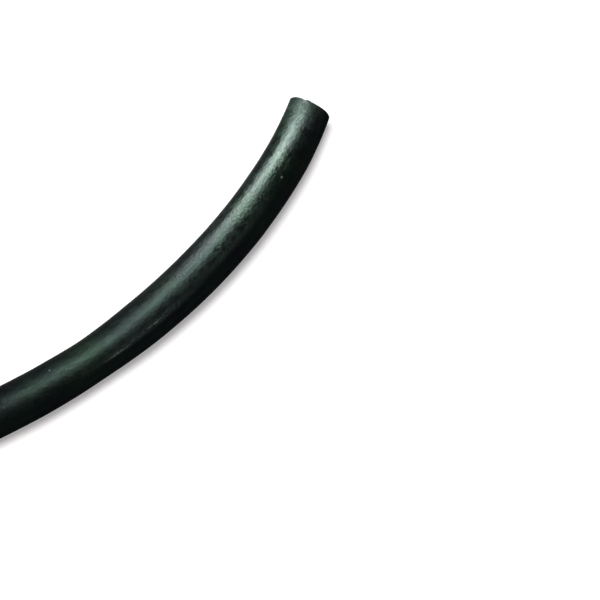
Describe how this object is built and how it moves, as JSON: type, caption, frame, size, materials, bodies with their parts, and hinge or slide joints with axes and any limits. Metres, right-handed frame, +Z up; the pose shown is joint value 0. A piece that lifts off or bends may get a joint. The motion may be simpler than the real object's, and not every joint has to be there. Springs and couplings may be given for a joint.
{
  "type": "soaker hose",
  "caption": "Porous rubber soaker hose wound in a tied coil, with one square-cut free end and a swivel inlet coupling clamped on the other end.",
  "frame": {"origin": "middle of the footprint, on the surface that the hose lies on", "axes": "+Z up, +X from the coil towards the free end and along the inlet coupling's axis, the way the tap's thread leaves it"},
  "size_m": [0.4157, 0.258, 0.1014],
  "materials": {
    "hose_rubber": "extruded recycled crumb rubber, matt with a fine grain",
    "brass": "turned, lightly handled",
    "washer_rubber": "moulded, smooth",
    "stainless_wire": "woven wire",
    "acetal": "moulded",
    "stainless_strip": "rolled strip, polished",
    "zinc_steel": "bright zinc plate",
    "nylon": "moulded, satin"
  },
  "bodies": {
    "hose": {"hose_cut_end": "hose_rubber", "hose_free_run": "hose_rubber", "hose_coil": "hose_rubber", "hose_inlet_run": "hose_rubber", "hose_inlet_end": "hose_rubber", "barbed_tail": "brass", "flow_restrictor": "acetal", "clamp_band": "stainless_strip", "clamp_housing": "stainless_strip", "coil_tie_1": "nylon", "coil_tie_2": "nylon", "coil_tie_3": "nylon"},
    "nut": {"swivel_nut": "brass", "inlet_washer": "washer_rubber", "strainer_screen": "stainless_wire"},
    "worm": {"clamp_screw": "zinc_steel"}
  },
  "joints": [
    {"name": "nut_spin", "type": "hinge", "parent": "hose", "child": "nut", "pos_m": [-0.06, 0.098, 0.0841], "axis": [1, 0, 0], "continuous": true},
    {"name": "clamp_screw_turn", "type": "hinge", "parent": "hose", "child": "worm", "pos_m": [-0.083, 0.098, 0.09738], "axis": [0, -1, 0], "range_deg": [-450, 3060]}
  ]
}
